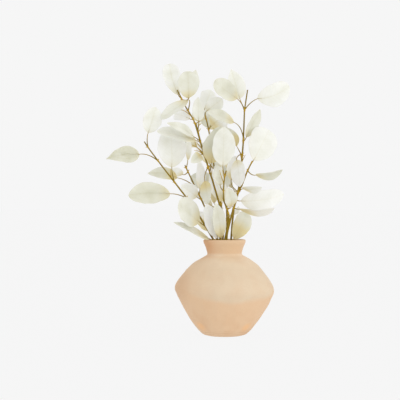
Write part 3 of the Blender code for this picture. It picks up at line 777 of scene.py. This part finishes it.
def clay_tree(material):
    """The vase's skin: faint marks of the paddle that shaped it, and rings left by the wheel."""
    sizes = {"Mark Size": 15 * MM, "Mark Depth": 1.1 * MM, "Ring Spacing": 4.2 * MM, "Ring Depth": 0.05 * MM}
    tree, given = geometry_tree("Paddled clay", sizes)
    place = add(tree, "InputPosition")
    outer = add(tree, "InputNamedAttribute", {"Name": "outer"})
    inputs = {"Vector": place, "Scale": 1 / given["Mark Size"], "Smoothness": 0.25}
    marks = add(tree, "TexVoronoi", inputs, feature="SMOOTH_F1")
    height = add(tree, "SeparateXYZ", [place], "Z")
    # The rings sway a little, because the wheel wasn't steady
    sway = add(tree, "TexNoise", {"Vector": place, "Scale": 1 / (40 * MM), "Detail": 1})
    rings = (height * (math.tau / given["Ring Spacing"]) + sway * 5).of("SINE")
    # 0.16 is about the middle of the marks, so that they stand out as much as they go in
    depth = (marks * marks - 0.16) * given["Mark Depth"] + rings * given["Ring Depth"]
    offset = add(tree, "InputNormal") * (depth * outer)
    skin = add(tree, "SetPosition", {"Geometry": given["Geometry"], "Offset": offset})
    return close_tree(tree, skin, material)


def surface(name):
    """A new material with its tree and its shader."""
    made = bpy.data.materials.new(name)
    made.use_nodes = True
    return made, made.node_tree, made.node_tree.nodes["Principled BSDF"]


def bisque_clay():
    """Bisque-fired terracotta, turned, paddled and wiped. It gives the eye a matt, chalky skin under a pale
    coat of painted sheen and top light, warmest where that coat is thin, on what faces down and near the foot."""
    made, tree, shader = surface("bisque terracotta with wiped slip")
    place = add(tree, "TexCoord", (), "Object")
    across, depth, height = (add(tree, "SeparateXYZ", [place], axis) for axis in "XYZ")
    # Clouds in the painted sheen, clouds of iron in the clay and the clay's grain, each by its size in mm
    noise = {}
    for name, size, detail in (("slip", 45.45, 3), ("iron", 26.32, 2), ("grain", 1.4286, 3)):
        noise[name] = add(tree, "TexNoise", {"Vector": place, "Scale": 1 / (size * MM), "Detail": detail})
    wander = noise["slip"] - 0.5
    # The cloth that wiped it left streaks round it, 1.1 mm high and 25 mm long
    streaks = place * tuple(1 / (size * MM) for size in (25, 25, 1.111))
    wiped = add(tree, "TexNoise", {"Vector": streaks, "Scale": 1, "Detail": 2})
    # Grog, the fired grit in the clay, about 1 mm here so that it shows: it is 0.3 mm in the real clay
    grog = add(tree, "TexVoronoi", {"Vector": place, "Scale": 1 / (1.6129 * MM)})
    # Trimming on the wheel left fine lines round the foot, 3.6 mm apart
    lines = (height * (math.tau / (3.6 * MM))).of("SINE")

    # Each share follows a value: from where to where, then its own two ends if they aren't 0 and 1
    ranges = {
        "neck": (height, 147 * MM, 151 * MM, 1, 0.1),
        "left": (across, -85 * MM, -15 * MM, 0.12, 1),
        "shoulder": (height, 122 * MM, 142 * MM),
        "iron": (noise["iron"], 0.45, 0.75),
        "low": (height, 0, 50 * MM, 0.3, 0.12),
        "lines": (lines, 0.1, 1),
        "foot": (height, 8 * MM, 13 * MM, 0.22, 0),
        "grog": (grog, 0.1, 0.28, 0.22, 0),
        "rough": (noise["slip"], 0.3, 0.7, 0.62, 0.78),
    }
    part = {name: add(tree, "MapRange", values) for name, values in ranges.items()}
    trimmed = part["lines"] * part["foot"]

    # A pale coat of painted sheen and top light, reaching lowest in front and on the right, towards the lamp.
    # It is faint on the neck, as painted shade under the lip, and on the left, as painted shade away from the
    # lamp, and palest on the shoulder, as a painted highlight on the top
    edge = height - depth * 0.36 + across * 0.1 + wander * 16 * MM
    slip = add(tree, "MapRange", (edge, 90 * MM, 104 * MM), interpolation_type="SMOOTHSTEP")
    inputs = {0: part["shoulder"], 6: tint("#DFC9AC"), 7: tint("#E9D3B6")}
    white = add(tree, "Mix", inputs, 2, data_type="RGBA")
    # The first coat is the painted sheen and top light; the second is clouds of iron in the clay, stronger
    # towards the foot
    coats = [(slip * part["neck"] * part["left"], white), (part["iron"] * part["low"], tint("#CF9A6D"))]
    # Flames licked it low on both sides of its front. The darker marks on its neck and its left side are
    # painted shade, under the lip and away from the lamp
    for spot, reach, mark in FIRE_MARKS_AND_PAINTED_SHADE:
        apart = place.of("DISTANCE", tuple(x * MM for x in spot)) + wander * 8 * MM
        inputs = (apart, 0.2 * reach * MM, reach * MM, 0.6, 0)
        share = add(tree, "MapRange", inputs, interpolation_type="SMOOTHSTEP")
        coats.append((share, tint(mark)))
    coats += [(trimmed, tint("#9A6C42")), (part["grog"], tint("#AA825A"))]
    colour = tint("#E2C09C")
    # A Mix node's sockets 0, 6 and 7 are its share and its two colours, and socket 2 is what they make
    for share, coat in coats:
        colour = add(tree, "Mix", {0: share, 6: colour, 7: coat}, 2, data_type="RGBA")

    relief = noise["grain"] + wiped * 0.6 - trimmed * 4
    bump = add(tree, "Bump", {"Strength": 0.35, "Distance": 0.3 * MM, "Height": relief})
    feed(shader, {"Base Color": colour, "Roughness": part["rough"], "Normal": bump})
    feed(shader, {"IOR": 1.45, "Specular IOR Level": 0.35})
    return made


def bleached_leaf():
    """Preserved eucalyptus leaf, bleached and dried. It gives the eye a thin, matt blade that lets some light
    through, ivory with an olive cast, partly where green is left and partly painted light and shade, and
    golden at the stalk, partly where sap stayed and partly painted warm shade, and along the veins."""
    made, tree, shader = surface("bleached eucalyptus leaf")
    read = {}
    for name in ("along", "across", "sideways", "length", *LOOK_VALUES):
        read[name] = add(tree, "Attribute", (), "Fac", attribute_name=name)
    along = read["along"]
    place = add(tree, "TexCoord", (), "Object")
    # Its colour shifts in clouds about 18 mm wide
    cloud = add(tree, "TexNoise", {"Vector": place, "Scale": 1 / (18.18 * MM), "Detail": 3})
    wander = cloud - 0.5
    # The olive cast, by each leaf's tone, is partly where green is left and partly painted light and shade:
    # more on leaves that catch the lamp, less on leaves in shade
    cast = add(tree, "MapRange", (read["tone"] + wander * 0.7, 0, 1.05))
    veins, rib = vein_lines(along, read["length"], read["sideways"], VEIN_SPACING, 0.7 * MM)
    veins = add(tree, "MapRange", (veins, 0.82, 1))
    lines = veins * (0.08 - 0.06 * read["across"].of("ABSOLUTE")) + rib * (1 - along * 0.6) * 0.16
    # The gold fades unevenly from the stalk outwards, and reaches further the more of it there is. It is
    # partly where sap stayed and partly painted warm shade by the stems
    inputs = (along + wander * 0.3, 0.18 + read["gold"] * 0.48, 0)
    gold = add(tree, "MapRange", inputs, interpolation_type="SMOOTHSTEP") * read["gold"]
    colour = tint("#F4F5F0")
    for share, coat in ((cast, "#C8C7B6"), (lines, "#BCAF7C"), (gold.of("MINIMUM", 0.65), "#CEBA78")):
        colour = add(tree, "Mix", {0: share, 6: colour, 7: tint(coat)}, 2, data_type="RGBA")
    # Its cells are drawn 1.1 mm wide so that they show: real ones can't be seen without a lens
    cells = add(tree, "TexVoronoi", {"Vector": place, "Scale": 1 / (1.1111 * MM)})
    bump = add(tree, "Bump", {"Strength": 0.25, "Distance": 0.2 * MM, "Height": cells + lines * 2})
    feed(shader, {"Base Color": colour, "Normal": bump, "IOR": 1.4, "Roughness": 0.62})
    feed(shader, {"Subsurface Weight": 1, "Subsurface Scale": 0.8 * MM, "Subsurface Radius": (1, 1, 0.95)})
    return made


def dry_twig():
    """Dry eucalyptus twig, its thin bark shrunk to fine ribs. It gives the eye a dull olive-brown line, golden
    at the joints and on young stalks, and more golden low on each stem, where that is painted light against
    the shade."""
    made, tree, shader = surface("dry eucalyptus bark")
    young = add(tree, "Attribute", (), "Fac", attribute_name="young")
    place = add(tree, "TexCoord", (), "Object")
    # Its ribs are 0.7 mm wide and 6 mm long, and run upwards as the stems do. Its colour shifts every 11 mm
    ribs = place * tuple(1 / (size * MM) for size in (0.66667, 0.66667, 5.8824))
    grain = add(tree, "TexNoise", {"Vector": ribs, "Scale": 1, "Detail": 3})
    cloud = add(tree, "TexNoise", {"Vector": place, "Scale": 1 / (11.11 * MM), "Detail": 2})
    golden = add(tree, "MapRange", (young + (cloud - 0.5) * 0.5, 0, 1))
    colour = tint("#504308")
    for share, coat in ((grain, "#968122"), (golden, "#C29E38")):
        colour = add(tree, "Mix", {0: share, 6: colour, 7: tint(coat)}, 2, data_type="RGBA")
    bump = add(tree, "Bump", {"Strength": 0.5, "Distance": 0.3 * MM, "Height": grain})
    feed(shader, {"Base Color": colour, "Normal": bump})
    feed(shader, {"IOR": 1.4, "Roughness": 0.75, "Specular IOR Level": 0.2})
    return made


def turned(outline, sides):
    """A bmesh of an outline spun about the axis, with the line round its belly a little aslant."""
    shell = bmesh.new()
    line = [shell.verts.new((radius, 0, height)) for radius, height in outline]
    edges = [shell.edges.new(pair) for pair in zip(line, line[1:])]
    bmesh.ops.spin(shell, geom=[*line, *edges], cent=(0, 0, 0), axis=UP, angle=math.tau, steps=sides)
    bmesh.ops.remove_doubles(shell, verts=shell.verts, dist=0.01 * MM)
    for vert in shell.verts:
        bell = math.sin(math.pi * min(vert.co.z / NECK_HEIGHT, 1)) ** 2
        vert.co.z -= BELLY_LEAN * bell * vert.co.x / BELLY_RADIUS
    bmesh.ops.recalc_face_normals(shell, faces=shell.faces)
    shell.verts.index_update()
    return shell


def fine_outline():
    """The vase's outline drawn smooth: up the outer wall, round the lip and down the inner wall."""
    coarse = vase_outline()
    lip_start = 1 + len(LOWER_WALL) + len(SHOULDER) + len(FLARE)
    walls = (coarse[1 : lip_start + 1], coarse[lip_start + LIP_STEPS : -1])
    outer, inner = (curve_through([Vector(place) for place in wall], OUTLINE_STEPS) for wall in walls)
    return [(0, 0), *outer, *lip_arc(LIP_ARC_STEPS)[1:-1], *inner, coarse[-1]]


def make_vase(material):
    """The vase, its skin marked where paddle and wheel shaped it: outside, clear of its foot and its lip."""
    shell = turned(fine_outline(), TURNING_STEPS)
    outer = shell.verts.layers.float.new("outer")
    for vert in shell.verts:
        outwards = vert.normal.xy.dot(vert.co.xy) > 0
        from_foot = (vert.co.z - 3 * MM) / (9 * MM)
        from_lip = (VASE_HEIGHT - 6 * MM - vert.co.z) / (12 * MM)
        vert[outer] = outwards * min(max(from_foot, 0), 1) * min(max(from_lip, 0), 1)
    mesh = bpy.data.meshes.new("vase_clay")
    shell.to_mesh(mesh)
    shell.free()
    return grown("vase_clay", mesh, clay_tree(material), {})


def evenly(path, spacing):
    """The same line with a point about every so far."""
    line = [path[0].copy()]
    for start, end in zip(path, path[1:]):
        count = max(1, round((end - start).length / spacing))
        line += [start.lerp(end, k / count) for k in range(1, count + 1)]
    return line


def stalk_line(leaf):
    """A leaf's stalk from its root in the stem to the blade, then on a little under the blade's midrib."""
    axis, facing = blade_frame(leaf)
    line = [on_stalk(leaf, axis, k / STALK_STEPS)[0] for k in range(STALK_STEPS + 1)]
    for u in STALK_UNDER_BLADE:
        place, normal, _ = on_midrib(leaf, axis, facing, u)
        line.append(place - normal * 0.3 * MM)
    return line


def bare_twigs(name, path, leaves, chance):
    """Lines for a stem's bare twigs, and for a stub across from each leaf, where its other leaf dropped."""
    lines = []
    for height, places in BARE_TWIGS.get(name, ()):
        root = place_on(path, height)[0]
        curve = curve_through([root, *[seen(*place, root.y / MM) for place in places]], 4)
        points = evenly(curve, 0.5 * TWIG_SPACING)
        lines.append((points, 1.2 * STUB_RADIUS, 0.5 * STUB_RADIUS, [root], (0.6, 1)))
    for leaf in leaves:
        outwards = leaf.base - leaf.root
        outwards = (outwards - leaf.along * leaf.along.dot(outwards)).normalized()
        reach = (leaf.along * 0.7 - outwards).normalized() * chance.uniform(*STUB_RANGE) * MM
        points = evenly([leaf.root, leaf.root + reach], 0.25 * TWIG_SPACING)
        lines.append((points, STUB_RADIUS, 0.7 * STUB_RADIUS, [leaf.root], (0.8, 1)))
    return lines


def make_twigs(name, lines, tree):
    """The twigs of one stem, from lines as (points, radius at the start, at the end, joints, how golden at
    both ends). The gold is young bark, and low on the main stems also painted light. They swell and turn
    golden at joints."""
    points = []
    edges = []
    for line, thick, thin, joints, (old, new) in lines:
        edges += [(k, k + 1) for k in range(len(points), len(points) + len(line) - 1)]
        for i, place in enumerate(line):
            share = i / (len(line) - 1)
            near = min(sum(math.exp(-(((place - joint).length / JOINT_REACH) ** 2)) for joint in joints), 1)
            radius = (thick + (thin - thick) * share) * (1 + 0.3 * near)
            points.append((place, radius, min(1, old + (new - old) * share + 0.7 * near)))
    places, radii, young = zip(*points)
    mesh = marked_mesh(name, places, edges, [], {"radius": radii, "young": young})
    return grown(name, mesh, tree, {})


def make_blades(name, leaves, blank, tree, chance):
    """The leaf blades of one stem, as points that carry each leaf's values."""
    rows = []
    for leaf in leaves:
        place = (leaf.base, leaf.tip - leaf.base, blade_frame(leaf)[1])
        half = leaf.breadth / 2 * MM / fullest(leaf.point)
        form = (half, leaf.point, leaf.bend * MM, leaf.bow * MM, leaf.cup * MM, math.radians(leaf.twist))
        rows.append((*place, *form, chance.uniform(0, 10), leaf.tone, leaf.gold))
    marks = dict(zip((*FORM_VALUES, *LOOK_VALUES), zip(*rows)))
    return grown(name, marked_mesh(name, marks["base"], [], [], marks), tree, {"Blank Leaf": blank})


def grow_plant():
    """Where every stem and leaf stands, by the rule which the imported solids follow."""
    chance = random.Random(SEED)
    paths = {}
    shoots = []
    tubes = []
    leaves = []
    for shoot in [*SHOOTS, *PAIRED_SHOOTS]:
        parent = paths.get(shoot.name)
        path = stem_path(shoot, parent)
        paths.setdefault(shoot.name, path)
        grow = paired_leaves if shoot in PAIRED_SHOOTS else table_leaves
        leaves += grow(shoot, path, chance)
        radius = BRANCH_RADIUS if parent else STEM_RADIUS
        shoots.append((shoot.name, path, radius))
        tubes.append((shoot.name, loft(tube(path, radius, not parent))))
    shell = turned(vase_outline(), VASE_SIDES)
    faces = [[vert.index for vert in face.verts] for face in shell.faces]
    vase = ([vert.co.copy() for vert in shell.verts], faces)
    shell.free()
    return shoots, settled(leaves, vase, tubes)


def dress():
    """Make every piece, hide the imported solid it stands for, and hang it on the root body."""
    pieces = [(make_vase(bisque_clay()), "vase", "clay")]
    shoots, leaves = grow_plant()
    blank = leaf_blank(LEAF_STATIONS, LEAF_POINTS_ASIDE)
    blades = blade_tree(bleached_leaf())
    twigs = twig_tree(dry_twig())
    chance = random.Random(SEED)
    for name in dict.fromkeys(stem for stem, _, _ in shoots):
        own = [leaf for leaf in leaves if leaf.stem == name]
        joints = [leaf.root for leaf in own]
        paths = [(path, radius) for stem, path, radius in shoots if stem == name]
        lines = []
        for path, radius in paths:
            line = evenly(path, TWIG_SPACING)
            # A round section square to a leaning line dips below its end, so it starts a little higher
            line[0] = line[0].lerp(line[1], 0.5)
            # More golden at the foot than at the tip: painted light against the shade low among the leaves and
            # by the vase
            lines.append((line, radius, TWIG_RADIUS, joints, (0.4, 0.2)))
        for leaf in own:
            lines.append((stalk_line(leaf), 1.2 * STALK_RADIUS, 0.4 * STALK_RADIUS, joints, (0.1, 0.7)))
        # Bare twigs stand on the main stem, which comes first
        lines += bare_twigs(name, paths[0][0], own, chance)
        pieces.append((make_twigs(name + "_twigs", lines, twigs), name, "twig"))
        pieces.append((make_blades(name + "_leaves", own, blank, blades, chance), name, "bleached_leaf"))
    bpy.data.objects.remove(blank)
    for piece, node, slot in pieces:
        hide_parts(node)
        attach(piece, "root")


def studio():
    """A plain pale sweep lit from all round, one large soft lamp low on the right, and the camera."""
    scene = bpy.context.scene
    scene.view_settings.view_transform = "Standard"
    scene.world = bpy.data.worlds.new("white studio")
    scene.world.use_nodes = True
    feed(scene.world.node_tree.nodes["Background"], {"Color": tint(PAPER), "Strength": 1})

    mesh = bpy.data.meshes.new("floor")
    shell = bmesh.new()
    bmesh.ops.create_circle(shell, cap_ends=True, segments=96, radius=30)
    shell.to_mesh(mesh)
    shell.free()
    floor = new_object("floor", mesh)
    # Matt paper, lit from within as well, so that its horizon doesn't show against the world
    paper, _, shader = surface("lit paper sweep")
    feed(shader, {"Base Color": tint("#262626"), "Roughness": 0.9, "Specular IOR Level": 0})
    feed(shader, {"Emission Color": tint(PAPER), "Emission Strength": 0.977})
    mesh.materials.append(paper)

    lamp = bpy.data.lights.new("softbox", "AREA")
    lamp.size = 2.2
    lamp.energy = 16
    softbox = new_object("softbox", lamp)
    softbox.location = (1.5, -1.5, 0.4)
    aim = Vector((0, 0, 0.2)) - softbox.location
    softbox.rotation_euler = aim.to_track_quat("-Z", "Y").to_euler()

    camera = new_object("camera", bpy.data.cameras.new("camera"))
    camera.data.sensor_width = 36
    camera.data.lens = 108.8
    camera.location = EYE
    camera.rotation_euler = (math.pi / 2, 0, 0)
    scene.camera = camera


dress()
studio()
